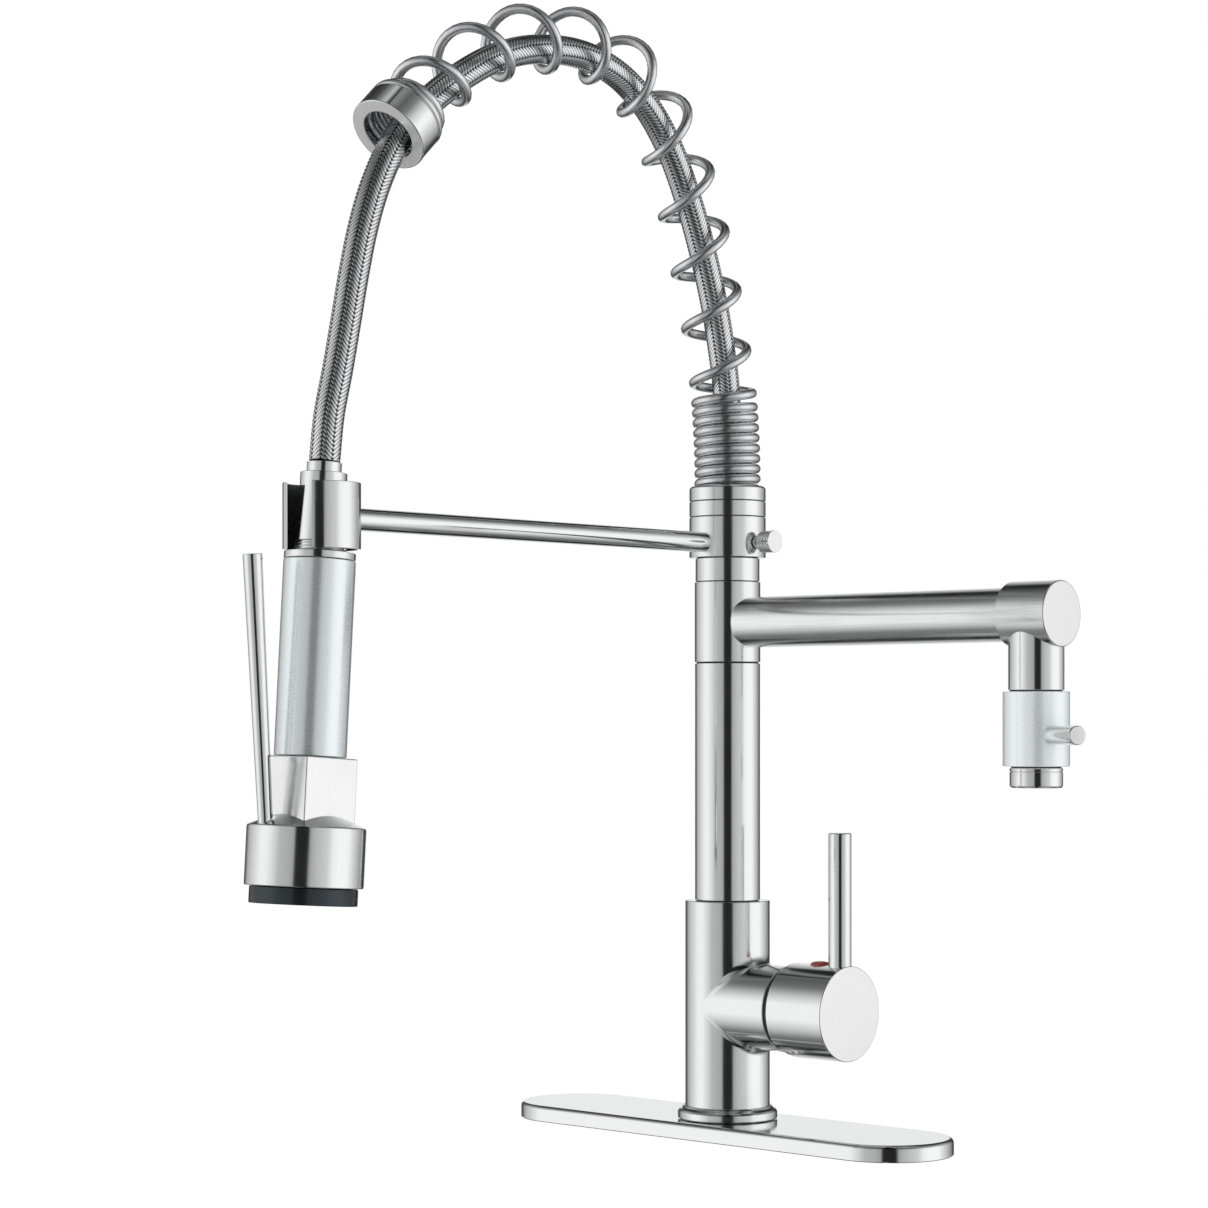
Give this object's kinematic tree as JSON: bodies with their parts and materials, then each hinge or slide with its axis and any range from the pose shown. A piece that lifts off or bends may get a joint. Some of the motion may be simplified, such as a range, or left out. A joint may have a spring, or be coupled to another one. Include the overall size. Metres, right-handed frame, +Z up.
{
  "type": "pull down kitchen faucet",
  "caption": "Deck-mounted kitchen faucet with a side lever, a swivelling spout with its own shut-off, and a spring-arched pull-down spray in a holder ring.",
  "frame": {"origin": "centre of the deck hole, on the surface of the deck, under the column axis", "axes": "+Z up along the column; +X along the deck plate towards the handle and the spout; -Y towards the spray head"},
  "size_m": [0.3475, 0.3367, 0.6024],
  "materials": {
    "brushed_nickel": "near-polished brushed nickel plate over brass",
    "brushed_arm": "brushed nickel, grain along the arm",
    "spring_steel": "bright drawn stainless spring wire",
    "bare_steel": "plain stainless steel",
    "pale_satin": "pale blue-grey satin with a fine speckle",
    "black_slate": "slate-black moulded plastic, semi-matte",
    "brass": "machined brass",
    "rubber": "black rubber",
    "nylon": "off-white moulded nylon",
    "ceramic": "lapped alumina ceramic",
    "red_lens": "brown-red translucent button",
    "braid": "braided stainless steel sleeve over a rubber hose"
  },
  "bodies": {
    "root": {"deck_gasket": "rubber", "plate_insert": "nylon", "deck_plate": "brushed_nickel", "base_flange": "brushed_nickel", "threaded_shank": "brass", "rubber_washer": "rubber", "steel_washer": "bare_steel", "mounting_nut": "brass", "hot_inlet": "brass", "cold_inlet": "brass", "mixer_body": "brushed_nickel", "cartridge_seal": "rubber", "cartridge_housing": "nylon", "fixed_disc": "ceramic", "cartridge_nut": "brass", "bonnet": "brushed_nickel", "column_tube": "brushed_nickel", "swivel_post": "brass", "spout_seal_lower": "rubber", "spout_seal_upper": "rubber", "column_spacer": "brushed_nickel", "hose_connector": "brass"},
    "temperature": {"stem_guide": "nylon"},
    "mixing_disc": {"moving_disc": "ceramic"},
    "handle": {"valve_stem": "brass", "handle_knob": "brushed_nickel", "handle_lever": "brushed_nickel", "index_dot": "red_lens", "knob_set_screw": "bare_steel"},
    "spout": {"spout_tee": "brushed_nickel", "spout_arm": "brushed_arm", "spout_end_block": "brushed_arm", "spout_down_pipe": "brushed_nickel", "valve_core": "brass", "aerator_housing": "brushed_nickel", "aerator_insert": "nylon"},
    "spout_valve": {"valve_sleeve": "pale_satin", "valve_pin": "brushed_nickel"},
    "spray_arm": {"arm_collar": "brushed_nickel", "arm_bush": "nylon", "arm_band": "brushed_nickel", "spring_cup": "brushed_nickel", "holder_rod": "brushed_nickel", "holder_ring": "brushed_nickel", "arch_spring": "spring_steel", "spray_hose": "braid"},
    "thumb_screw": {"thumb_screw": "brushed_nickel"},
    "hose_end": {"hose_ferrule": "brushed_nickel", "spring_end_nut": "brushed_nickel"},
    "spray_head": {"dock_neck": "brushed_nickel", "grip_collar": "brushed_nickel", "spray_grip": "pale_satin", "head_block": "brushed_nickel", "head_bell": "brushed_nickel", "nozzle_ring": "black_slate", "spray_face": "black_slate", "plunger_spring": "bare_steel"},
    "spray_plunger": {"spray_plunger": "bare_steel"},
    "spray_lever": {"spray_lever": "brushed_nickel"}
  },
  "joints": [
    {"name": "handle_temperature", "type": "hinge", "parent": "root", "child": "temperature", "pos_m": [0.03, 0, 0.064], "axis": [1, 0, 0], "range_deg": [-45, 45]},
    {"name": "handle_flow", "type": "hinge", "parent": "temperature", "child": "handle", "pos_m": [0.03, 0, 0.064], "axis": [0, 1, 0], "range_deg": [0, 20]},
    {"name": "disc_slide", "type": "slide", "parent": "temperature", "child": "mixing_disc", "axis": [0, 0, 1], "range_m": [0, 0.0028]},
    {"name": "spout_swivel", "type": "hinge", "parent": "root", "child": "spout", "pos_m": [0, 0, 0.2515], "axis": [0, 0, 1], "continuous": true},
    {"name": "spout_valve_turn", "type": "hinge", "parent": "spout", "child": "spout_valve", "pos_m": [0.1832, 0, 0.2], "axis": [0, 0, 1], "range_deg": [0, 90]},
    {"name": "spray_arm_swivel", "type": "hinge", "parent": "root", "child": "spray_arm", "pos_m": [0, 0, 0.2905], "axis": [0, 0, 1], "continuous": true},
    {"name": "thumb_screw_turn", "type": "hinge", "parent": "spray_arm", "child": "thumb_screw", "pos_m": [0.02, 0, 0.2905], "axis": [1, 0, 0], "range_deg": [0, 360]},
    {"name": "spray_head_pull", "type": "slide", "parent": "spray_arm", "child": "hose_end", "axis": [0, -0.0645, -0.9979], "range_m": [0, 0.1], "stiffness_N_per_m": 60, "springref_m": -0.17, "deforming": ["arch_spring", "spray_hose"]},
    {"name": "spray_head_turn", "type": "hinge", "parent": "hose_end", "child": "spray_head", "pos_m": [0, -0.266, 0.2905], "axis": [0, 0.0645, 0.9979], "continuous": true},
    {"name": "spray_lever_squeeze", "type": "hinge", "parent": "spray_head", "child": "spray_lever", "pos_m": [-0.0022, -0.29548, 0.15833], "axis": [-0.9945, 0.1043, -0.0068], "range_deg": [0, 6.5], "stiffness_Nm_per_rad": 0.4, "springref_deg": -11.46},
    {"name": "plunger_slide", "type": "slide", "parent": "spray_head", "child": "spray_plunger", "axis": [0, -0.0645, -0.9979], "range_m": [0, 0.0028], "deforming": ["plunger_spring"]}
  ],
  "couplings": [
    {"joint": "disc_slide", "follows": "handle_flow", "m_per_rad": 0.008},
    {"joint": "plunger_slide", "follows": "spray_lever_squeeze", "m_per_rad": 0.0245}
  ]
}
